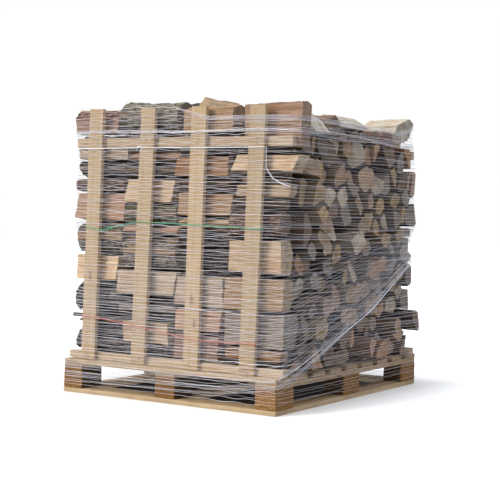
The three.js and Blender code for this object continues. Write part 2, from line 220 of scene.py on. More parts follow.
class Bag:
    """Collects closed grid surfaces and makes them into one mesh object."""

    def __init__(self):
        self.parts = []
        self.count = 0

    def add(self, rings, poles, wood, bark, mask, grain, flat):
        """Joins K rings of N points by quads and closes each end with a fan of triangles round a pole. mask
        and grain have a value for each ring point, and flat one for each quad."""
        k, n = rings.shape[:2]
        base = self.count
        index = base + np.arange(k * n).reshape(k, n)
        right = np.roll(index, -1, 1)
        quads = np.stack([index[:-1], right[:-1], right[1:], index[1:]], -1).reshape(-1, 4)
        low, high = base + k * n, base + k * n + 1
        first = np.stack([np.full(n, low), right[0], index[0]], -1)
        last = np.stack([index[-1], right[-1], np.full(n, high)], -1)
        spread = np.concatenate([rings.reshape(-1, 3), poles])
        end_mask = np.stack([mask[0].mean(0), mask[-1].mean(0)])
        end_grain = np.stack([grain[0].mean(0), grain[-1].mean(0)])
        total = k * n + 2
        self.parts.append((
            spread, quads, np.concatenate([first, last]),
            np.tile(wood, (total, 1)), np.tile(bark, (total, 1)),
            np.concatenate([mask.reshape(-1, 3), end_mask]),
            np.concatenate([grain.reshape(-1, 3), end_grain]),
            flat.reshape(-1),
        ))
        self.count += total

    def build(self, name, material, nodes, under_net=True):
        """Makes the mesh object with its material, hangs it from the root body and hides the CAD parts that
        it replaces. Faces marked flat and the closing fans are shaded sharp."""
        columns = [np.concatenate(c) for c in zip(*self.parts)]
        points, quads, fans, wood, bark, mask, grain, flat = columns
        if under_net:
            cloud.append(points)
        mesh = bpy.data.meshes.new(name)
        loops = np.concatenate([quads.ravel(), fans.ravel()])
        starts = np.concatenate([np.arange(len(quads)) * 4, len(quads) * 4 + np.arange(len(fans)) * 3])
        mesh.vertices.add(len(points))
        mesh.loops.add(len(loops))
        mesh.polygons.add(len(starts))
        mesh.vertices.foreach_set("co", (points / 1000).astype(np.float32).ravel())
        mesh.loops.foreach_set("vertex_index", loops.astype(np.int32))
        mesh.polygons.foreach_set("loop_start", starts.astype(np.int32))
        mesh.update(calc_edges=True)
        for title, values in (("wood", wood), ("bark", bark), ("mask", mask), ("grain", grain)):
            made = mesh.attributes.new(title, "FLOAT_VECTOR", "POINT")
            made.data.foreach_set("vector", values.astype(np.float32).ravel())
        sharp = mesh.attributes.new("sharp_face", "BOOLEAN", "FACE")
        sharp.data.foreach_set("value", np.concatenate([flat, np.ones(len(fans), bool)]))
        mesh.materials.append(material)
        made = bpy.data.objects.new(name, mesh)
        bpy.context.scene.collection.objects.link(made)
        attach(made, "root")
        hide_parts(*nodes)
        return made


# ---- one log --------------------------------------------------------------------------------


def section(polygon, pith, radius, count):
    """Points round a polygon. Those further than radius from the pith are drawn in to that circle, which
    wavers a little with the angle: they are bark."""
    p = np.array(polygon, float)
    q = np.roll(p, -1, 0)
    length = np.hypot(*(q - p).T)
    points = []
    for a, b, part in zip(p, q, length):
        n = max(1, int(round(count * part / length.sum())))
        points.append(a + (b - a) * (np.arange(n)[:, None] / n))
    points = np.concatenate(points)
    away = points - pith
    distance = np.maximum(np.hypot(*away.T), 1e-6)
    angle = np.arctan2(away[:, 1], away[:, 0])
    reach = radius * (1 + 0.035 * np.sin(2 * angle + radius) + 0.02 * np.sin(5 * angle))
    skin = distance > reach
    points = np.where(skin[:, None], pith + away * (reach / distance)[:, None], points)
    return points, skin.astype(float)


def capped(sides, shares, out, pole_out, rough):
    """The rings along X with more added to close both ends: copies of the end ring, drawn in to each share
    of its size, moved out along X and made rough. Also the two poles, in the middle of each end."""
    caps, poles = [], []
    for end, sign in ((0, -1), (-1, 1)):
        rim = sides[end]
        core = rim.mean(0)
        rings = []
        for share in shares:
            ring = core + (rim - core) * share
            ring[:, 0] += sign * (out + rough(share))
            rings.append(ring)
        caps.append(np.stack(rings))
        poles.append(core + np.array([sign * pole_out, 0, 0]))
    return np.concatenate([caps[0][::-1], sides, caps[1]]), np.stack(poles)


def add_log(
    bag, polygon, run, wood, bark, rng, pith, radius, count, stations, turn=None, tilts=None, shade=0.0
):
    """A log along X: its section at every station, drawn in by a noise that runs along the split faces as
    ridges and breaks up the bark into plates and flakes, tapered, twisted and swayed a little. The sawn
    ends lean by tilts, in millimetres along X for each across. turn is a matrix applied at the end."""
    rng = np.random.default_rng(rng.integers(1 << 30))
    area, middle = area_and_middle(polygon)
    pith = np.array(pith, float)
    around, skin = section(polygon, pith, radius, count)
    n = len(around)
    size = math.sqrt(max(area, 100.0))
    steps = 0.5 - 0.5 * np.cos(np.pi * np.linspace(0, 1, stations))
    steps = 0.6 * steps + 0.4 * np.linspace(0, 1, stations)
    ridge = np.clip(smooth_noise(rng, 1, n, 0, 0) + 0.6 * smooth_noise(rng, stations, n, 4, 0), -1.6, 2.2)
    slow = smooth_noise(rng, stations, n, 3, 3)
    plates = smooth_noise(rng, stations, n, 1, 0)
    flaked = smooth_noise(rng, stations, n, 2, 2) > 1.5
    split_dip = 1.7 + 1.3 * ridge + 1.1 * slow
    bark_dip = 2.2 + 1.5 * plates + 0.9 * ridge + 0.9 * slow + 2.5 * flaked
    dip = np.clip(np.where(skin > 0.5, bark_dip, split_dip), -0.6, 8)
    from_middle = around - middle
    reach = np.maximum(np.hypot(*from_middle.T), 1e-6)
    taper = rng.uniform(0, 0.07)
    thin = 1 - taper * (steps if rng.random() < 0.5 else 1 - steps)
    scale = thin[:, None] * (1 - dip / np.maximum(reach, 15))
    twist = math.radians(rng.normal() * 1.6) * (steps - 0.5)
    cos, sin = np.cos(twist)[:, None], np.sin(twist)[:, None]
    y, z = from_middle.T
    swung = np.stack([y * cos - z * sin, y * sin + z * cos], -1)
    sway = 0.012 * size * rng.normal(size=(2, 1)) * np.sin(np.pi * steps)
    side = middle + swung * scale[..., None] + sway.T[:, None, :]
    if tilts is None:
        tilts = rng.normal(size=(2, 2)) * 0.06
    low, high = run
    lean = np.outer(1 - steps, from_middle @ tilts[0]) + np.outer(steps, from_middle @ tilts[1])
    chamfer = 1.6
    x = (low + chamfer) + (high - low - 2 * chamfer) * steps[:, None] + lean
    sides = np.concatenate([x[..., None], side], -1)
    rough = lambda share: 0.5 * rng.normal(size=n) * (share < 0.9)
    rings, poles = capped(sides, (0.985, 0.93, 0.62, 0.28), chamfer, chamfer, rough)
    cut = np.concatenate([np.ones(4), np.zeros(stations), np.ones(4)])
    cover = np.tile(skin, (stations + 8, 1))
    cover[4:-4][flaked] = 0
    cover[[0, 1, 2, -1, -2, -3]] = 0
    # The mask's third part is painted shade: it darkens the split faces and bark of logs set among others.
    mask = np.stack([cover, np.tile(cut[:, None], (1, n)), np.full(cover.shape, shade)], -1)
    offset = rng.random() * 20
    grain = (rings - np.array([0, pith[0], pith[1]])) / 1000 + np.array([offset, 0, 0])
    flat = (cover[:-1] < 0.5) | (cut[:-1, None] > 0.5)
    if turn is not None:
        moved = np.concatenate([rings.reshape(-1, 3), poles]) @ turn[:3, :3].T + turn[:3, 3]
        rings, poles = moved[:-2].reshape(rings.shape), moved[-2:]
    tone = 1 + 0.12 * rng.normal()
    bark_tone = 1 + 0.15 * rng.normal()
    bag.add(rings, poles, np.array(wood) * tone, np.array(bark) * bark_tone, mask, grain, flat)


def tip(about, axis, degrees):
    """A matrix that turns by degrees round a line through a point, along one of the axes."""
    centre = Vector(about)
    turned = Matrix.Rotation(math.radians(degrees), 4, axis)
    return np.array(Matrix.Translation(centre) @ turned @ Matrix.Translation(-centre))


# ---- log rows -------------------------------------------------------------------------------


def front_log(bag, entry, row, rng):
    """One of the logs that show between the slats. Its section is as high as the log and about as deep, up
    to a limit, and its shape decides which of its corners are cut and where the pith is."""
    bottom, top, shape, wood, skin = entry[:5]
    run = entry[5:7] if len(entry) > 5 else ROW_RUNS[row]
    leans = entry[7:9] if len(entry) > 7 else rng.normal(size=2) * 0.07
    tilts = np.stack([rng.normal(size=2) * 0.05, np.array(leans)], -1)
    tall = top - bottom
    face = FRONT_FACE + rng.uniform(0, 9)
    if top > RAIL_LOW:
        face = FACE_BEHIND_RAIL
    deep = np.clip(0.95 * tall + 22, 46, 108) + rng.uniform(-6, 6)
    back = face + deep
    middle = (bottom + top) / 2
    nudge = lambda: rng.uniform(0, 0.09) * tall
    if shape == "r":
        polygon = [(face, bottom), (back, bottom), (back, top), (face, top)]
        radius = tall / 2
        pith = (face + radius, middle)
    elif shape == "b":
        polygon = [(face, bottom), (back - nudge(), bottom + nudge()), (back, top - nudge()), (face, top)]
        radius = 0.62 * tall
        pith = (face + radius, middle + rng.uniform(-0.05, 0.05) * tall)
    elif shape == "w":
        edge = middle + rng.uniform(-0.22, 0.22) * tall
        polygon = [(face, edge), (back - 20, bottom), (back, middle), (back - 20, top)]
        pith = (face, middle)
        radius = deep * 0.93
    else:
        polygon = [
            (face + 0.5 * nudge(), bottom + nudge()), (back, bottom), (back + 4, middle), (back - 4, top),
            (face + nudge(), top - 0.4 * nudge()),
        ]
        pith = (face + 4, middle)
        radius = deep * 0.97
    add_log(bag, polygon, run, WOOD[wood], BARK[skin], rng, pith, radius, 62, 22, tilts=tilts)


def choose_bark(polygon, rng):
    """The pith and radius of the trunk that a split log came from. One in ten is whole, two in three keep
    part of the bark on one side, and the rest has none."""
    area, middle = area_and_middle(polygon)
    size = math.sqrt(area / math.pi)
    pick = rng.random()
    if pick < 0.10:
        return middle, size
    if pick < 0.78:
        direction = rng.uniform(0, 2 * math.pi)
        share = rng.uniform(0.5, 1.1)
        pith = middle - share * size * np.array([math.cos(direction), math.sin(direction)])
        return pith, size * (share + rng.uniform(0.88, 1.15))
    return middle, NO_BARK


def row_seeds(row, rng):
    """Where the logs of a row are in its section, and their woods: those with a place of their own first,
    then spots tried at random and kept if they have room round them."""
    seeds, woods = [], []
    if row == 0:
        seeds = [(BEHIND_GAPS_Y, z) for z in BEHIND_GAPS]
        woods = ["brown"] * len(seeds)
    if row == 3:
        seeds = [(y, z) for y, z, _ in RIGHT_ENDS]
        woods = [wood for _, _, wood in RIGHT_ENDS]
    for _ in range(2600):
        spot = np.array([rng.uniform(NEAR + 20, FAR - 20), rng.uniform(LOW + 20, HIGH - 18)])
        room = rng.uniform(60, 104) if row == 3 else rng.uniform(74, 114)
        if not seeds or np.hypot(*(np.array(seeds) - spot).T).min() > room:
            seeds.append(tuple(spot))
            woods.append(None)
    return seeds, woods


def clear_of_rails(polygon):
    """The polygon, cut back where it would meet a rail of the back frame."""
    for low, high, reach in BACK_RAILS:
        heights = [p[1] for p in polygon]
        if max(p[0] for p in polygon) > reach and min(heights) < high and max(heights) > low:
            polygon = clip(polygon, (1, 0), reach)
    return polygon


def halved(polygon, middle, rng):
    """The two parts of a polygon on either side of a line at a random angle near its middle."""
    angle = rng.uniform(0, math.pi)
    normal = np.array([math.cos(angle), math.sin(angle)])
    split = normal @ middle + rng.uniform(-8, 8)
    return [clip(polygon, normal, split - 4), clip(polygon, -normal, -split - 4)]


def log_run(row, centre, wood, rng):
    """Where a log starts and ends along X. The outer ends of the first and the last row stand out unevenly,
    and one in ten of the last row's is pushed well in."""
    start, end = ROW_RUNS[row]
    start, end = start + rng.uniform(-5, 9), end + rng.uniform(-9, 4)
    if row == 0:
        start = -480 + rng.normal() * 14
    if row == 3:
        end = 484 + rng.normal() * 21 - 40 * (rng.random() < 0.10 and not wood and centre[0] > -300)
        if centre[0] > 400:
            end = 488 + rng.uniform(-6, 14)
        for low, high, out in FAR_ENDS:
            if centre[0] > 470 and low < centre[1] < high:
                end += out
        if wood:
            end = max(end, 488) + 8
        end = min(end, 546 if centre[1] < 930 else 500)
    return start, end


def fill_row(bag, row, rng):
    """The rest of a row: the cells of its section nearest to each seed, drawn in on the outer rows so that
    dark gaps show between the ends, many of them halved, and one log in each."""
    outer = row in (0, 3)
    region = [(NEAR, LOW), (FAR, LOW), (FAR, HIGH), (NEAR, HIGH)]
    seeds, woods = row_seeds(row, rng)
    for wood, polygon in zip(woods, voronoi(seeds, region, 6)):
        if len(polygon) >= 3:
            polygon = clear_of_rails(polygon)
        if len(polygon) < 3:
            continue
        area, middle = area_and_middle(polygon)
        if outer and middle[0] < 440 and middle[1] < HIGH - 52 and not (row == 0 and wood):
            shrink = rng.uniform(0.80, 0.93)
            polygon = [tuple(middle + shrink * (np.array(p) - middle)) for p in polygon]
            area *= shrink ** 2
        split = area > 6800 and wood is None and rng.random() < 0.72
        for part in halved(polygon, middle, rng) if split else [polygon]:
            if len(part) < 3 or area_and_middle(part)[0] < 700:
                continue
            centre = area_and_middle(part)[1]
            edge = centre[0] > FAR - 90 or centre[1] > HIGH - 80 or centre[0] < NEAR + 30
            run = log_run(row, centre, wood, rng)
            tone = wood or END_WOODS[rng.integers(len(END_WOODS))]
            pith, radius = choose_bark(part, rng)
            if wood:
                radius = max(radius, 1.02 * math.sqrt(area / math.pi)) if row == 3 else NO_BARK
            bark = BARK[SKINS[rng.integers(len(SKINS))]]
            tilts = rng.normal(size=(2, 2)) * (0.14 if outer else 0.05)
            around, stations = (32, 9) if edge else (29, 6) if outer else (12, 3)
            colour = np.array(WOOD[tone]) * (1.15 if outer else 1.0)
            # Painted shade on the logs' sides: heavy on the outer rows, where the sides show in the gaps
            # between ends, lighter within.
            shade = 0.85 if outer else 0.4
            add_log(bag, part, run, colour, bark, rng, pith, radius, around, stations, None, tilts, shade)
    if row == 3:
        for low, high, top, tone in UPPER_LOGS:
            left, right = [(low + 14, top), (low, 1060)], [(high, 1056), (high - 12, top)]
            part = [(low + 8, 1031), (high - 9, 1031), *right, *left]
            run = (274 + rng.uniform(0, 8), 490 + rng.normal() * 8)
            pith = area_and_middle(part)[1] + np.array([rng.normal() * 10, -28])
            add_log(bag, part, run, WOOD[tone], BARK["red"], rng, pith, 0.5 * (high - low) + 6, 48, 14)


# ---- materials ------------------------------------------------------------------------------


class Nodes:
    """Short names for the shader nodes that the materials here use."""

    def __init__(self, name):
        self.material = bpy.data.materials.new(name)
        self.material.use_nodes = True
        self.tree = self.material.node_tree
        self.shader = next(n for n in self.tree.nodes if n.type == "BSDF_PRINCIPLED")

    def link(self, value, socket):
        """Joins another node's result to a socket, or sets the socket to a plain value."""
        if isinstance(value, bpy.types.NodeSocket):
            self.tree.links.new(value, socket)
        else:
            socket.default_value = value

    def attribute(self, name):
        """A value that the mesh carries at its points."""
        node = self.tree.nodes.new("ShaderNodeAttribute")
        node.attribute_name = name
        return node.outputs["Vector"]

    def split(self, vector):
        """The three parts of a vector."""
        node = self.tree.nodes.new("ShaderNodeSeparateXYZ")
        self.link(vector, node.inputs[0])
        return node.outputs

    def maths(self, operation, a, b=0.0):
        """One operation on one or two numbers."""
        node = self.tree.nodes.new("ShaderNodeMath")
        node.operation = operation
        self.link(a, node.inputs[0])
        self.link(b, node.inputs[1])
        return node.outputs[0]

    def vector(self, operation, a, b=(0, 0, 0)):
        """One operation on one or two vectors, or on a vector and a number for SCALE."""
        node = self.tree.nodes.new("ShaderNodeVectorMath")
        node.operation = operation
        self.link(a, node.inputs[0])
        if operation == "SCALE":
            self.link(b, node.inputs["Scale"])
        else:
            self.link(b, node.inputs[1])
        return node.outputs["Value" if operation == "LENGTH" else "Vector"]

    def times(self, a, b):
        """Two vectors multiplied part by part."""
        return self.vector("MULTIPLY", a, b)

    def combine(self, *parts):
        """A vector made of three numbers."""
        node = self.tree.nodes.new("ShaderNodeCombineXYZ")
        for part, socket in zip(parts, node.inputs):
            self.link(part, socket)
        return node.outputs[0]

    def noise(self, vector, scale, detail=3.0):
        """Smooth noise, mostly from 0.3 to 0.7, in detail layers of which each is twice as fine."""
        node = self.tree.nodes.new("ShaderNodeTexNoise")
        self.link(vector, node.inputs["Vector"])
        node.inputs["Scale"].default_value = scale
        node.inputs["Detail"].default_value = detail
        node.inputs["Roughness"].default_value = 0.55
        return node.outputs[0]

    def cells(self, vector, feature="F1", output="Distance"):
        """Cells of one unit round scattered points."""
        node = self.tree.nodes.new("ShaderNodeTexVoronoi")
        node.feature = feature
        self.link(vector, node.inputs["Vector"])
        node.inputs["Scale"].default_value = 1.0
        return node.outputs[output]

    def ramp(self, value, low, high, to_low=0.0, to_high=1.0):
        """A straight line from low, to_low to high, to_high, and level beyond both."""
        node = self.tree.nodes.new("ShaderNodeMapRange")
        self.link(value, node.inputs[0])
        for i, number in enumerate((low, high, to_low, to_high)):
            node.inputs[i + 1].default_value = number
        return node.outputs[0]

    def mix(self, share, a, b):
        """Colour a where the share is 0, b where it is 1, and between them in a straight line."""
        node = self.tree.nodes.new("ShaderNodeMix")
        node.data_type = "RGBA"
        self.link(share, node.inputs["Factor"])
        for value, socket in ((a, node.inputs[6]), (b, node.inputs[7])):
            self.link(value if isinstance(value, bpy.types.NodeSocket) else (*value, 1.0), socket)
        return node.outputs[2]

    def bump(self, height, strength, distance):
        """A normal tilted as if the surface had this height."""
        node = self.tree.nodes.new("ShaderNodeBump")
        self.link(height, node.inputs["Height"])
        node.inputs["Strength"].default_value = strength
        node.inputs["Distance"].default_value = distance
        return node.outputs[0]

    def finish(self, colour, roughness, normal=None):
        """Sets the surface and returns the material."""
        self.link(colour, self.shader.inputs["Base Color"])
        self.shader.inputs["Roughness"].default_value = roughness
        self.shader.inputs["Specular IOR Level"].default_value = 0.25
        if normal is not None:
            self.link(normal, self.shader.inputs["Normal"])
        return self.material


def log_material(name):
    """Split faces streaked along the grain, sawn ends with rings and cracks, and plated bark, chosen by the
    masks."""
    m = Nodes(name)
    wood, bark = m.attribute("wood"), m.attribute("bark")
    grain = m.attribute("grain")
    skin, cut, shade = m.split(m.attribute("mask"))
    streaks = m.noise(m.times(grain, (5.0, 130.0, 130.0)), 1.0, 3.0)
    fibres = m.noise(m.times(grain, (14.0, 420.0, 420.0)), 1.0, 2.0)
    stains = m.noise(grain, 9.0, 2.0)
    face = m.mix(m.ramp(streaks, 0.38, 0.66, 0.0, 0.7), wood, m.times(wood, (0.56, 0.46, 0.37)))
    face = m.mix(m.ramp(fibres, 0.3, 0.7, 0.22, 0.0), face, m.times(wood, (0.45, 0.38, 0.30)))
    face = m.mix(m.ramp(stains, 0.5, 0.72, 0.0, 0.6), face, m.times(wood, (0.66, 0.46, 0.34)))
    # Painted shade: split faces darkened by the shade mask.
    face = m.mix(shade, face, m.times(face, (0.42, 0.40, 0.40)))
    x, y, z = m.split(grain)
    across = m.combine(0.0, y, z)
    wobble = m.noise(grain, 22.0, 2.0)
    radius = m.maths("ADD", m.vector("LENGTH", across), m.maths("MULTIPLY", wobble, 0.006))
    rings = m.maths("SINE", m.maths("MULTIPLY", radius, 1500.0))
    end = m.mix(m.ramp(rings, -1.0, 1.0, 0.0, 0.3), wood, m.times(wood, (0.55, 0.45, 0.36)))
    end = m.mix(m.ramp(radius, 0.012, 0.045, 0.5, 0.0), end, m.times(wood, (0.6, 0.42, 0.3)))
    angle = m.maths("ARCTAN2", y, z)
    spoke = m.combine(m.maths("MULTIPLY", angle, 5.5), m.maths("MULTIPLY", radius, 9.0), x)
    crack = m.ramp(m.noise(spoke, 1.0, 2.0), 0.30, 0.37, 1.0, 0.0)
    end = m.mix(m.maths("MULTIPLY", crack, 0.75), end, (0.03, 0.02, 0.014))
    grime = m.noise(grain, 30.0, 3.0)
    end = m.mix(m.ramp(grime, 0.42, 0.68, 0.1, 0.65), end, (0.16, 0.13, 0.105))
    timber = m.mix(cut, face, end)
    long_cells = m.times(grain, (26.0, 75.0, 75.0))
    plates = m.cells(long_cells, "DISTANCE_TO_EDGE")
    mottle = m.noise(grain, 55.0, 3.0)
    cover = m.mix(m.ramp(plates, 0.02, 0.26, 0.95, 0.0), bark, m.times(bark, (0.22, 0.2, 0.21)))
    cover = m.mix(m.ramp(mottle, 0.42, 0.68, 0.0, 0.66), cover, m.times(bark, (2.15, 2.0, 1.8)))
    # Painted shade: bark darkened by the shade mask.
    cover = m.mix(shade, cover, m.times(cover, (0.5, 0.48, 0.48)))
    edge = m.maths("ADD", skin, m.maths("MULTIPLY", m.maths("SUBTRACT", mottle, 0.5), 0.6))
    share = m.ramp(edge, 0.45, 0.55)
    colour = m.mix(share, timber, cover)
    relief = m.maths("ADD", m.maths("MULTIPLY", streaks, 0.7), m.maths("MULTIPLY", fibres, 0.3))
    rough_bark = m.maths("ADD", m.ramp(plates, 0.0, 0.3), mottle)
    pick = m.tree.nodes.new("ShaderNodeMix")
    m.link(share, pick.inputs[0])
    m.link(m.maths("MULTIPLY", relief, 0.6), pick.inputs[2])
    m.link(rough_bark, pick.inputs[3])
    return m.finish(colour, 0.9, m.bump(pick.outputs[0], 0.6, 0.003))


def board_material(name, knots=1.0):
    """Sawn softwood: long streaks, a few knots, darker end grain and a little dirt."""
    m = Nodes(name)
    wood = m.attribute("wood")
    grain = m.attribute("grain")
    dirty, cut, _ = m.split(m.attribute("mask"))
    bend = m.noise(m.times(grain, (2.2, 9.0, 9.0)), 1.0, 2.0)
    shifted = m.vector("ADD", grain, m.vector("SCALE", (0.0, 0.02, 0.02), bend))
    bands = m.noise(m.times(shifted, (1.6, 95.0, 95.0)), 1.0, 3.0)
    fibres = m.noise(m.times(grain, (9.0, 500.0, 500.0)), 1.0, 2.0)
    patches = m.noise(grain, 5.0, 2.0)
    face = m.mix(m.ramp(bands, 0.4, 0.68, 0.0, 0.55), wood, m.times(wood, (0.74, 0.60, 0.42)))
    face = m.mix(m.ramp(fibres, 0.3, 0.7, 0.22, 0.0), face, m.times(wood, (0.5, 0.42, 0.33)))
    face = m.mix(m.ramp(patches, 0.48, 0.75, 0.0, 0.4), face, m.times(wood, (0.8, 0.66, 0.5)))
    spots = m.cells(m.times(grain, (5.0, 13.0, 13.0)))
    knot = m.ramp(spots, 0.06, 0.13, 0.9 * knots, 0.0)
    face = m.mix(knot, face, m.times(wood, (0.34, 0.20, 0.13)))
    end = m.mix(m.ramp(bands, 0.35, 0.65, 0.2, 0.7), wood, m.times(wood, (0.5, 0.36, 0.24)))
    dirt = m.ramp(m.noise(grain, 16.0, 3.0), 0.5, 0.75, 0.0, 0.45)
    colour = m.mix(m.maths("MULTIPLY", dirt, dirty), m.mix(cut, face, end), (0.13, 0.09, 0.06))
    height = m.maths("ADD", m.maths("MULTIPLY", bands, 0.5), m.maths("MULTIPLY", fibres, 0.5))
    return m.finish(colour, 0.75, m.bump(height, 0.35, 0.0015))


def chip_material(name):
    """Pressed wood chips: small flat cells of light and dark brown, with painted shade on the faces inside
    the pallet, which are those away from its edges at 0.5 m along X and 0.6 m along Y."""
    m = Nodes(name)
    wood = m.attribute("wood")
    grain = m.attribute("grain")
    scattered = m.vector("ADD", grain, m.vector("SCALE", (0.01, 0.01, 0.01), m.noise(grain, 60.0, 2.0)))
    chips = m.cells(m.times(scattered, (150.0, 150.0, 330.0)), "F1", "Color")
    tone = m.split(chips)[0]
    light, dark = m.times(wood, (1.45, 1.4, 1.25)), m.times(wood, (0.4, 0.34, 0.3))
    colour = m.mix(m.ramp(tone, 0.0, 1.0, 0.0, 0.75), light, dark)
    patches = m.noise(grain, 14.0, 2.0)
    colour = m.mix(m.ramp(patches, 0.45, 0.7, 0.0, 0.5), colour, m.times(wood, (1.2, 0.85, 0.5)))
    # Painted shade: faces inside the pallet are darkened to about a third, a little bluish.
    place = m.tree.nodes.new("ShaderNodeTexCoord").outputs["Object"]
    past = m.split(m.vector("SUBTRACT", m.vector("ABSOLUTE", place), (0.492, 0.592, 0.0)))
    inner = m.ramp(m.maths("MAXIMUM", past[0], past[1]), -0.004, 0.0, 1.0, 0.0)
    colour = m.mix(inner, colour, m.times(colour, (0.34, 0.36, 0.42)))
    return m.finish(colour, 0.85, m.bump(tone, 0.4, 0.0015))


def plain_material(name, colour, roughness):
    """One even colour."""
    return Nodes(name).finish((*colour, 1.0), roughness)


# ---- boards, blocks and laths -----------------------------------------------------------------


def node_box(node):
    """Middle, three unit directions (longest first) and the sizes of a CAD box, which may lean."""
    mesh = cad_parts[node].data
    points = np.array([v.co[:] for v in mesh.vertices]) * 1000
    middle = (points.max(0) + points.min(0)) / 2
    spans = np.ptp(points, axis=0)
    longest = int(np.argmax(spans))
    direction = np.zeros(3)
    direction[longest] = 1
    if longest == 2:
        top = points[points[:, 2] > middle[2]].mean(0)
        foot = points[points[:, 2] < middle[2]].mean(0)
        direction = (top - foot) / np.linalg.norm(top - foot)
    other = np.zeros(3)
    other[1 if longest != 1 else 0] = 1
    third = np.cross(direction, other)
    if longest == 2:
        third = np.cross(direction, np.array([0.0, 1.0, 0.0]))
    axes = np.stack([direction, np.cross(third, direction), third])
    sizes = np.ptp((points - middle) @ axes.T, axis=0)
    return middle, axes, sizes


def add_plank(bag, middle, axes, sizes, wood, rng, dirt=0.4, wear=1.0, stations=22, corner=1.4):
    """A board along its first axis: a rectangle whose corners are quarter circles, drawn in a little by a
    noise, more so near the corners, with rough sawn ends."""
    length, width, thick = sizes
    half = np.array([width / 2, thick / 2])
    arcs = []
    for sy, sz in ((1, -1), (1, 1), (-1, 1), (-1, -1)):
        a = math.atan2(sz, sy) - math.pi / 4 + np.arange(4) * math.pi / 6
        arcs.append((half - corner) * (sy, sz) + corner * np.stack([np.cos(a), np.sin(a)], -1))
    points = []
    for i, arc in enumerate(arcs):
        count = 2 if i in (0, 2) and thick < width / 2 else 5
        share = np.arange(1, count + 1)[:, None] / (count + 1)
        points += [arc, arc[-1] + (arcs[(i + 1) % 4][0] - arc[-1]) * share]
    around = np.concatenate(points)
    n = len(around)
    steps = np.linspace(-0.5, 0.5, stations)
    inward = np.abs(smooth_noise(rng, stations, n, 3, 1)) * 0.35 * wear
    near_edge = (np.abs(around) > half - 2 * corner).all(1)
    inward = inward * np.where(near_edge, 2.6, 1.0)
    reach = np.hypot(*around.T)
    side = around[None] * (1 - inward / reach)[..., None]
    x = np.tile((steps * (length - 2.0))[:, None], (1, n))
    sides = np.concatenate([x[..., None], side], -1)
    rough = lambda share: -np.abs(rng.normal(size=n)) * 0.3
    local, poles = capped(sides, (0.975, 0.6, 0.25), 1.0, 0.8, rough)
    cut = np.concatenate([np.ones(3), np.zeros(stations), np.ones(3)])
    every = local.shape[:2]
    layers = [np.full(every, dirt), np.broadcast_to(cut[:, None], every), np.full(every, rng.random())]
    mask = np.stack(layers, -1)
    offset = rng.random(3) * np.array([30, 4, 4])
    grain = local / 1000 + offset
    flat = np.ones((len(local) - 1, n), bool)
    colour = np.array(wood) * (1 + 0.06 * rng.normal())
    bag.add(local @ axes + middle, poles @ axes + middle, colour, wood, mask, grain, flat)


def add_nail(bag, at, outward, radius, rng):
    """A nail head: rings that narrow as they rise, a low dome a little proud of the wood."""
    outward = np.array(outward, float)
    side = np.cross(outward, [0.0, 0.0, 1.0])
    up = np.cross(side, outward)
    turn = -2 * np.pi * np.arange(12) / 12
    disc = np.cos(turn)[:, None] * side + np.sin(turn)[:, None] * up
    at = np.array(at, float) + 0.3 * rng.random() * outward
    dome = ((0.9, -0.6), (1.0, 0.3), (0.8, 0.7), (0.4, 0.9))
    rings = np.stack([at + disc * radius * share + outward * height for share, height in dome])
    poles = np.stack([at - 0.6 * outward, at + 0.95 * outward])
    blank = np.zeros(rings.shape)
    bag.add(rings, poles, np.array(STEEL), np.ones(3), blank, blank, np.zeros((3, 12), bool))


# ---- build the wooden parts -------------------------------------------------------------------

rng = np.random.default_rng(41)
logs_look = log_material("logs")
board_look = board_material("boards")
lath_look = board_material("laths", 0.8)
chip_look = chip_material("chips")

for node in sorted(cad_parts):
    if node.startswith(("bottom_board", "stringer", "deck_board")):
        bag = Bag()
        shade = PINE if node.startswith("bottom") or node == "deck_board_1" else DULL_PINE
        add_plank(bag, *node_box(node), shade, rng, dirt=0.8)
        bag.build(node + "_sawn", board_look, [node])
    elif node.startswith("block"):
        bag = Bag()
        add_plank(bag, *node_box(node), PRESSED_WOOD, rng, stations=10, corner=2.2, wear=2.0)
        bag.build(node + "_pressed", chip_look, [node])
    elif "slat" in node or "rail" in node:
        bag = Bag()
        shade = PINE if "slat" in node else RAIL_PINE
        middle, axes, sizes = node_box(node)
        add_plank(bag, middle, axes, sizes, shade, rng, dirt=0.3, stations=34)
        if "slat" in node:
            side = -1 if node.startswith("front") else 1
            for height in (144, 157, 996, 1014):
                x = middle[0] + (height - middle[2]) * axes[0][0] / axes[0][2] + rng.uniform(-17, 17)
                add_nail(bag, (x, side * SLAT_FACE, height), (0, side, 0), 3.4, rng)
        bag.build(node + "_sawn", lath_look, [node])

for row in range(4):
    bag = Bag()
    chosen = np.random.default_rng(900 + row)
    for entry in FRONT_LOGS[row]:
        front_log(bag, entry, row, chosen)
    fill_row(bag, row, chosen)
    bag.build(f"split_logs_{row + 1}", logs_look, [f"log_row_{row + 1}"])

# ---- the logs on top --------------------------------------------------------------------------


def square(y, z, half):
    """The corners of a square round a middle."""
    return [(y - half, z - half), (y + half, z - half), (y + half, z + half), (y - half, z + half)]


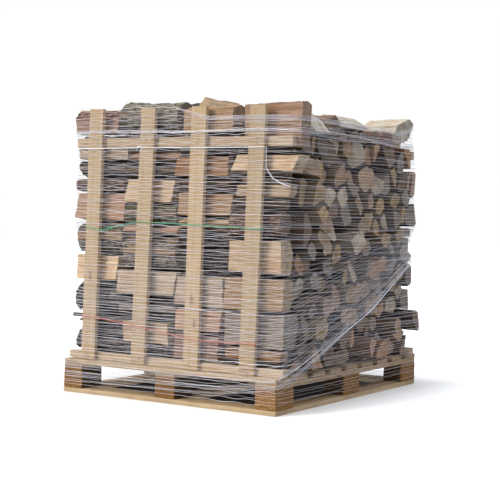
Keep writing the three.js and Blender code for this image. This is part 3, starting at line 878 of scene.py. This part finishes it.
# Each log on top: its node and section (Y, Z); where it starts and ends along X, wood, bark, pith, trunk
# radius, how it is turned ("lie" is along Y), and how far its first and last end lean.
TOP_LOGS = [
    ("top_log_1", [(-541, 1044), (-450, 1042), (-446, 1108), (-476, 1144), (-534, 1128)],
     (-518, -297), "mauve", "red", (-468, 1056), 88, tip((-400, -490, 1090), "Y", 1.0), -0.26),
    ("top_log_2", square(-478, 1107, 66),
     (-290, -9), "grey", "lichen", (-478, 1107), 65, tip((-150, -478, 1107), "Y", 2.6), 0.1),
    ("top_log_3", [(-541, 1042), (-446, 1041), (-441, 1116), (-468, 1150), (-538, 1134)],
     (18, 250), "tan", "bark", (-500, 1050), 97, tip((130, -490, 1090), "Y", -1.6), 0.0),
    ("top_log_4", [(-142, 1042), (7, 1042), (3, 1131), (-46, 1188), (-129, 1128)],
     (-432, -190), "cream", "greybark", (-60, 1060), NO_BARK, "lie", 0.0),
    ("top_log_5", square(-346, 1106, 66),
     (-192, -18), "brown", "dark", (-346, 1106), 65, tip((-100, -346, 1106), "Y", -5), 0.0),
    ("top_log_6", [(-523, 981), (-451, 984), (-449, 1160), (-523, 1160)],
     (290, 535), "pink", "bark", (-492, 1004), 142, tip((410, -488, 1070), "Y", -1.2), 0.0),
    ("top_log_7", [(-419, 1042), (-292, 1043), (-289, 1100), (-345, 1137), (-416, 1117)],
     (302, 505), "white", "greybark", (-350, 1060), NO_BARK, None, 0.0, -0.8),
    ("top_log_8", [(-283, 1044), (-184, 1042), (-177, 1098), (-232, 1128), (-285, 1108)],
     (276, 516), "brown", "bark", (-240, 1085), 64, None, 0.0),
    ("top_log_9", [(384, 1094), (430, 1046), (474, 1049), (507, 1140), (474, 1163), (396, 1128)],
     (296, 502), "white", "greybark", (420, 1136), 88, tip((399, 444, 1100), "Z", -11), 0.0),
    ("top_log_10", [(-265, 1042), (-120, 1044), (-170, 1136), (-205, 1132)],
     (-474, -236), "tan", "bark", (-190, 1130), 92, None, 0.0),
    ("top_log_11", square(90, 1092, 56),
     (-226, 10), "yellow", "bark", (90, 1050), 72, None, 0.0),
    ("top_log_12", square(330, 1093, 52),
     (22, 268), "brown", "lichen", (330, 1093), 51, None, 0.0),
    ("top_log_13", square(-382, 1096, 55),
     (158, 292), "brown", "dark", (-382, 1096), 55, tip((225, -382, 1096), "Y", -2), 0.0),
    ("top_log_14", [(-500, 1084), (-406, 1084), (-408, 1118), (-426, 1136), (-497, 1100)],
     (-168, 96), "white", "bark", (-450, 1085), NO_BARK, "lie", 0.0),
]
for node, polygon, run, wood, skin, pith, radius, turn, *leans in TOP_LOGS:
    bag = Bag()
    if isinstance(turn, str):
        turn = np.array(Matrix.Rotation(math.radians(90), 4, "Z"))
    last_lean = leans[1] if leans[1:] else 0.05
    tilts = np.array([[rng.normal() * 0.05, leans[0]], [rng.normal() * 0.05, last_lean]])
    add_log(bag, polygon, run, WOOD[wood], BARK[skin], rng, pith, radius, 80, 28, turn, tilts)
    if node == "top_log_6":
        # A short twig stands out of its end.
        twig = square(-474, 1148, 5)
        add_log(bag, twig, (500, 526), WOOD["brown"], BARK["dark"], rng, (-474, 1148), 5, 12, 4)
    bag.build(node + "_split", logs_look, [node])

# ---- twines and net -----------------------------------------------------------------------------


def tube(path, radius, sides, twist=0.0, lobes=0.0):
    """Circles round a path, square to the line from the point before to the point after. With lobes the
    section is three strands, a cosine of three times the angle, and twist turns it as it goes."""
    ahead = np.roll(path, -1, 0) - np.roll(path, 1, 0)
    ahead[0], ahead[-1] = path[1] - path[0], path[-1] - path[-2]
    ahead /= np.linalg.norm(ahead, axis=1, keepdims=True)
    side = np.cross(ahead, np.array([0.0, 0.0, 1.0]))
    side /= np.maximum(np.linalg.norm(side, axis=1, keepdims=True), 1e-9)
    up = np.cross(side, ahead)
    walked = np.concatenate([[0], np.cumsum(np.linalg.norm(np.diff(path, axis=0), axis=1))])
    angle = -2 * np.pi * np.arange(sides)[None] / sides
    reach = np.asarray(radius) * (1 + lobes * np.cos(3 * (angle - twist * walked[:, None])))
    out = np.cos(angle)[..., None] * side[:, None] + np.sin(angle)[..., None] * up[:, None]
    return path[:, None] + reach[..., None] * out


def finer(points, step):
    """The same straight runs with a point every step."""
    points = np.array(points, float)
    out = []
    for a, b in zip(points[:-1], points[1:]):
        n = max(1, int(np.linalg.norm(b - a) / step))
        out.append(a + (b - a) * (np.arange(n)[:, None] / n))
    return np.concatenate(out + [points[-1:]])


def rounded(path, times):
    """Each inner point is drawn a little towards the middle of its neighbours."""
    for _ in range(times):
        path = path.copy()
        path[1:-1] += 0.25 * (path[:-2] - 2 * path[1:-1] + path[2:])
    return path


def add_tube(bag, rings):
    """A plain tube, closed at both ends."""
    k, n = rings.shape[:2]
    blank = np.zeros((k, n, 3))
    poles = np.stack([rings[0].mean(0), rings[-1].mean(0)])
    bag.add(rings, poles, np.ones(3), np.ones(3), blank, blank, np.zeros((k - 1, n), bool))


# The twines' radius, and how far their strands turn per millimetre, in radians.
TWINE_RADIUS = 1.6
TWIST = 0.55


def slat_side(slat, side, z):
    """X of a front slat's left (-1) or right (1) edge at a height, along the slat's lean."""
    middle, axes, sizes = node_box(f"front_slat_{slat}")
    return middle[0] + (z - middle[2]) * axes[0][0] / axes[0][2] + side * 34.5


def twine(name, middles, ends, colour, node, tail=None, knots=()):
    """Three twisted strands drawn straight from point to point across the front slats, and round the outer
    edges of the end ones. A knot is three turns of a coil with two short ends that droop as a square
    curve."""
    left, right = slat_side(1, -1, ends[0]) - 2.4, slat_side(4, 1, ends[1]) + 2.4
    front = -SLAT_FACE - 3.4
    path = [(left, -561, ends[0]), (left, front, ends[0])]
    path += [(x, front, z) for x, z in middles] + [(right, front, ends[1]), (right, -561, ends[1])]
    if tail:
        path += tail
    line = rounded(finer(path, 3.0), 2)
    bag = Bag()
    add_tube(bag, tube(line, TWINE_RADIUS, 12, TWIST, 0.16))
    for x, z in knots:
        turns = np.linspace(0, 1, 60)
        a = turns * 2 * np.pi * 3
        coil = np.stack([x - 7 + 14 * turns, front - 0.8 + 2.9 * np.cos(a), z + 3.1 * np.sin(a)], -1)
        add_tube(bag, tube(coil, TWINE_RADIUS, 9, TWIST, 0.14))
        for way in (-1, 1):
            run = np.linspace(0, 1, 10)
            droop = z + 3 * way - 13 * run ** 2
            loose = np.stack([x + 4 * way + 9 * way * run, front - 2 - 3 * run, droop], -1)
            add_tube(bag, tube(loose, 1.4 * (1 - 0.3 * run[:, None]), 9, TWIST, 0.14))
    bag.build(name, plain_material(name, colour, 0.6), [node], under_net=False)


# The twines' colours, and where the white one's loose end hangs.
GREEN, PINK, WHITE = (0.10, 0.36, 0.20), (0.55, 0.20, 0.20), (0.78, 0.80, 0.84)
LOOSE_END = [(411, -562, 940), (412, -562, 905), (440, -559, 868), (478, -557, 848), (506, -556, 841)]
twine("green_cord", [(-340, 655), (-170, 695), (90, 689)], (670, 680), GREEN, "green_twine",
      knots=[(-296, 668)])
twine("pink_cord", [(-340, 305), (-140, 285), (40, 260), (130, 250)], (310, 255), PINK, "pink_twine")
twine("white_cord", [(-160, 984), (100, 981)], (980, 982), WHITE, "white_twine", LOOSE_END, [(-158, 986)])

# The net lies on the outline of everything inside it. Round the middle, the furthest point in each direction
# and height gives that outline; a stretched thread bridges its hollows, so the outline is made convex.
MIDDLE = np.array([30.0, 0.0])
DIRECTIONS = 720
LEVELS = 100
LEVEL = 12.0
inside = np.concatenate(cloud)
offset = inside[:, :2] - MIDDLE
heading = ((np.arctan2(offset[:, 1], offset[:, 0]) / (2 * np.pi)) % 1 * DIRECTIONS).astype(int) % DIRECTIONS
level = np.clip((inside[:, 2] / LEVEL).astype(int), 0, LEVELS - 1)
furthest = np.zeros((LEVELS, DIRECTIONS))
np.maximum.at(furthest, (level, heading), np.hypot(*offset.T))
turn = 2 * np.pi * (np.arange(DIRECTIONS) + 0.5) / DIRECTIONS
facing = np.cos(turn[:, None] - turn[None])
support = np.stack([(furthest[i][None] * facing).max(1) for i in range(LEVELS)])
padded = np.pad(support, ((2, 2), (0, 0)), mode="edge")
spread = np.max([padded[i:i + LEVELS] for i in range(5)], axis=0)
padded = np.pad(spread, ((2, 2), (0, 0)), mode="edge")
support = np.maximum(support, np.mean([padded[i:i + LEVELS] for i in range(5)], axis=0))
reach = np.where(facing > 0.05, support[:, None, :] / np.maximum(facing, 0.05)[None], 1e9).min(2)


def on_net(angle, z, out):
    """The point of the net's surface in a direction and at a height, moved out a little. The distance is
    mixed in straight lines from the four nearest known ones."""
    a = (angle / (2 * np.pi)) % 1 * DIRECTIONS - 0.5
    h = np.clip(z / LEVEL - 0.5, 0, LEVELS - 1.01)
    a0, h0 = np.floor(a).astype(int), np.floor(h).astype(int)
    fa, fh = a - a0, h - h0
    pick = lambda i, j: reach[i, j % DIRECTIONS]
    r = (pick(h0, a0) * (1 - fa) + pick(h0, a0 + 1) * fa) * (1 - fh)
    r = r + (pick(h0 + 1, a0) * (1 - fa) + pick(h0 + 1, a0 + 1) * fa) * fh
    r = r + out
    return np.stack([MIDDLE[0] + r * np.cos(angle), MIDDLE[1] + r * np.sin(angle), z], -1)


outline = on_net(turn, np.full(DIRECTIONS, 600.0), 0)
walk = np.concatenate([[0], np.cumsum(np.linalg.norm(np.roll(outline, -1, 0) - outline, axis=1))])
AROUND = walk[-1]


def angle_at(share):
    """The direction of the place that share of the way round the outline, measured along it."""
    return np.interp((share % 1) * AROUND, walk, np.append(turn, turn[0] + 2 * np.pi))


def slow_wave(rng, s, waves):
    """A closed wave of unit spread made of a few slow waves round the load."""
    total = np.zeros_like(s)
    for k in range(1, waves + 1):
        total += rng.normal() * np.sin(2 * np.pi * (k * s + rng.random())) / math.sqrt(waves)
    return total


def on_right(angle):
    """1 over the right side, 0 over the other three, with a soft change at its corners."""
    return np.clip((np.cos(angle) - 0.60) / 0.10, 0, 1)


def net_threads(name, heights, rng, slope=0.0, meshes=39, swing=3.4, thick=0.6, out=0.8):
    """Threads round the load: sines of the way round, of which neighbours swing in opposite phase and
    nearly meet, like long knitted meshes. Over the right side they are pulled straight and cross at small
    angles."""
    bag = Bag()
    s = np.linspace(0, 1, 6 * meshes + 31)
    angle = angle_at(s)
    right = on_right(angle)
    gust = np.clip(0.55 + 0.45 * slow_wave(rng, s, 9), 0.1, 1.2) * (1 - 0.75 * right)
    phase = 0.35 * slow_wave(rng, s, 5)
    for i, height in enumerate(heights):
        wave = np.sin(2 * np.pi * (meshes * s + phase + 0.04 * rng.normal()) + np.pi * (i % 2))
        z = height + swing * gust * wave + 2.0 * slow_wave(rng, s, 7)
        z = z + 9 * rng.normal() * right * np.sin(angle)
        z = z + slope * np.sin(2 * np.pi * (s + 0.1))
        top = 1165 - 62 * np.clip((np.cos(angle + 0.35) - 0.25) / 0.3, 0, 1)
        z = np.where(z > top - 20, top - 20 + 0.25 * (z - top + 20), z)
        path = on_net(angle, np.clip(z, 34, 1180), out + 0.5 * rng.random())
        path[-1] = path[0]
        width = thick * (1 + 0.3 * rng.normal()) * (1 + 0.25 * slow_wave(rng, s, 8)) * (1 - 0.22 * right)
        add_tube(bag, tube(path, np.clip(width, 0.28, 1.1)[:, None], 3))
    return bag.build(name, net_look, ["net_wrap"])


def pulled(path, angle):
    """Over the right side a tight thread bridges every hollow: X becomes the lowest curve over Y that bends
    one way only and has the thread's own X under it, found as the lowest of the straight lines that clear
    it."""
    side = np.cos(angle) > 0.66
    x, y = path[side, 0], path[side, 1]
    lean = np.linspace(-2.5, 2.5, 401)[:, None]
    path[side, 0] = ((x - lean * y).max(1)[:, None] + lean * y).min(0)
    return path


def net_bundle(name, rng):
    """Threads drawn together low at the near right corner. Across the right side they fan out and rise in
    straight lines; round the other three sides they run nearly level and come down again."""
    bag = Bag()
    fan = np.linspace(0, 1, 32)
    drawn = rng.uniform(0, 0.02, 9)
    shares = np.concatenate([drawn, 0.045 + 0.955 * fan ** 1.35 + rng.normal(size=32) * 0.012])
    s = np.linspace(0, 1, 281)
    angle = np.radians(-131 + 360 * s)
    slopes = np.linspace(-1.16, 1.16, 24)
    marks = np.concatenate([[-131, -68], np.degrees(np.arctan(slopes)), [131, 229]])
    across = (slopes - slopes[0]) / (slopes[-1] - slopes[0])
    for share in shares:
        tight = share < 0.02
        near, far = 112 + 395 * share, 548 + 150 * share
        low = rng.uniform(44, 112) if tight else near - 22
        rise = near + (far - near) * across
        if tight:
            rise = rise + rng.uniform(-34, 36) * np.clip(1 - across / 0.42, 0, 1)
            rise = rise + rng.uniform(-6, 6) * across
        heights = np.concatenate([[low, low + 0.3 * (rise[0] - low)], rise, [far - 40, low]])
        z = np.interp(np.degrees(angle), marks, heights)
        z = np.convolve(np.pad(z, 4, mode="edge"), np.ones(9) / 9, mode="valid")
        z = z + (0.6 if tight else 2.6) * slow_wave(rng, s, 12) * (1 - 0.75 * on_right(angle))
        path = pulled(on_net(angle, z, 1.2 + 1.2 * rng.random()), angle)
        path[-1] = path[0]
        width = (0.56 if tight else 0.44) * (0.6 + 0.4 * on_right(angle) + 0.15 * rng.random())
        add_tube(bag, tube(path, width[:, None], 3))
    return bag.build(name, net_look, ["net_wrap"])


def net_band(name, rng, height, count):
    """A few threads twisted together into a bright band that runs level round the load."""
    bag = Bag()
    s = np.arange(361) / 360
    lift = 3 * slow_wave(rng, s, 6)
    for i in range(count):
        z = height + lift + 3.4 * np.sin(2 * np.pi * (7 * s + i / count)) + 1.2 * slow_wave(rng, s, 20)
        z = z + 26 * (i / count - 0.5) * on_right(angle_at(s))
        path = on_net(angle_at(s), z, 1.4 + 1.2 * rng.random())
        path[-1] = path[0]
        add_tube(bag, tube(path, 0.5 + 0.2 * rng.random(), 3))
    return bag.build(name, net_look, ["net_wrap"])


net_look = plain_material("net", NET_WHITE, 0.5)
net_rng = np.random.default_rng(77)
net_threads("net_lower", np.arange(38, 600, 12.0), net_rng, thick=0.56)
net_threads("net_upper", np.arange(600, 1160, 12.0), net_rng, thick=0.56)
net_threads("net_cross", np.arange(140, 1120, 15.0), net_rng, 14, 23, 2.6, 0.38, 1.4)
net_bundle("net_bundle", net_rng)
net_band("net_band", net_rng, 1046, 6)

# ---- floor, light and camera --------------------------------------------------------------------


def stage_mesh(name, points, faces, material):
    """A mesh of the studio, which is no part of the object."""
    mesh = bpy.data.meshes.new(name)
    mesh.from_pydata(points, [], faces)
    mesh.materials.append(material)
    made = bpy.data.objects.new(name, mesh)
    bpy.context.scene.collection.objects.link(made)
    return made


# The floor is matt white, and painted almost black under the pallet as a painted shadow. Away from the
# pallet it also glows faintly, so that it stays as white as the wall.
paper = Nodes("floor")
spot = paper.vector("ABSOLUTE", paper.tree.nodes.new("ShaderNodeTexCoord").outputs["Object"])
beside = paper.vector("MAXIMUM", paper.vector("SUBTRACT", spot, (0.55, 0.65, 0.0)), (0, 0, 0))
clear = paper.vector("LENGTH", paper.times(beside, (1, 1, 0)))
inner = paper.vector("MAXIMUM", paper.vector("SUBTRACT", spot, (0.43, 0.53, 0.0)), (0, 0, 0))
in_the_open = paper.ramp(paper.vector("LENGTH", inner), 0.0, 0.05)
# Painted shadow: the floor's colour drops to near black inside the pallet's footprint.
paper.finish(paper.mix(in_the_open, (0.05, 0.05, 0.06), (0.8, 0.8, 0.8)), 0.95)
paper.shader.inputs["Emission Color"].default_value = (1, 1, 1, 1)
paper.link(paper.ramp(clear, 0.0, 0.5, 0.0, 0.7), paper.shader.inputs["Emission Strength"])
corners = [(-40, -40, 0), (40, -40, 0), (40, 40, 0), (-40, 40, 0)]
floor = stage_mesh("floor", corners, [(0, 1, 2, 3)], paper.material)

# A round white wall far away, seen by the camera only.
wall_look = Nodes("wall")
wall_look.finish((0, 0, 0, 1.0), 1.0)
wall_look.shader.inputs["Emission Color"].default_value = (1, 1, 1, 1)
wall_look.shader.inputs["Emission Strength"].default_value = 1.0
bearings = np.radians(np.arange(0, 360, 7.5))
rim = [(30 * math.cos(a), 30 * math.sin(a)) for a in bearings]
wall_points = [(x, y, z) for z in (-6, 45) for x, y in rim]
sides = len(rim)
wall_faces = [((i + 1) % sides, i, sides + i, sides + (i + 1) % sides) for i in range(sides)]
wall = stage_mesh("wall", wall_points, wall_faces, wall_look.material)
wall.visible_diffuse = False
wall.visible_glossy = False
wall.visible_shadow = False
floor.visible_diffuse = False

world = bpy.data.worlds.new("studio")
world.use_nodes = True
sky = world.node_tree.nodes["Background"]
sky.inputs[0].default_value = (0.90, 0.94, 1.0, 1.0)
sky.inputs[1].default_value = 0.60
bpy.context.scene.world = world

for title, strength, spread_angle, colour, direction in (
    ("key", 2.7, 22, (1.0, 0.93, 0.84), (0.42, 0.78, -0.46)),
    ("overhead", 1.8, 50, (0.97, 0.98, 1.0), (-0.15, 0.25, -0.95)),
):
    lamp = bpy.data.lights.new(title, "SUN")
    lamp.energy = strength
    lamp.angle = math.radians(spread_angle)
    lamp.color = colour
    lamp_object = bpy.data.objects.new(title, lamp)
    lamp_object.rotation_euler = Vector(direction).to_track_quat("-Z", "Y").to_euler()
    bpy.context.scene.collection.objects.link(lamp_object)

# The camera stands off the near right corner and is turned, tipped and rolled by these degrees.
yaw, pitch, roll = (math.radians(a) for a in (32.01, -1.68, 1.35))
forward = Vector((-math.sin(yaw) * math.cos(pitch), math.cos(yaw) * math.cos(pitch), math.sin(pitch)))
level_right = Vector((math.cos(yaw), math.sin(yaw), 0))
level_up = level_right.cross(forward)
right = math.cos(roll) * level_right + math.sin(roll) * level_up
up = -math.sin(roll) * level_right + math.cos(roll) * level_up
camera = bpy.data.cameras.new("camera")
camera.sensor_width = 36
camera.lens = 90.828
camera.clip_end = 200
camera_object = bpy.data.objects.new("camera", camera)
turned = Matrix((right, up, -forward)).transposed()
camera_object.matrix_world = Matrix.Translation((2.829, -4.527, 0.739)) @ turned.to_4x4()
bpy.context.scene.collection.objects.link(camera_object)
bpy.context.scene.camera = camera_object
bpy.context.scene.view_settings.view_transform = "Standard"
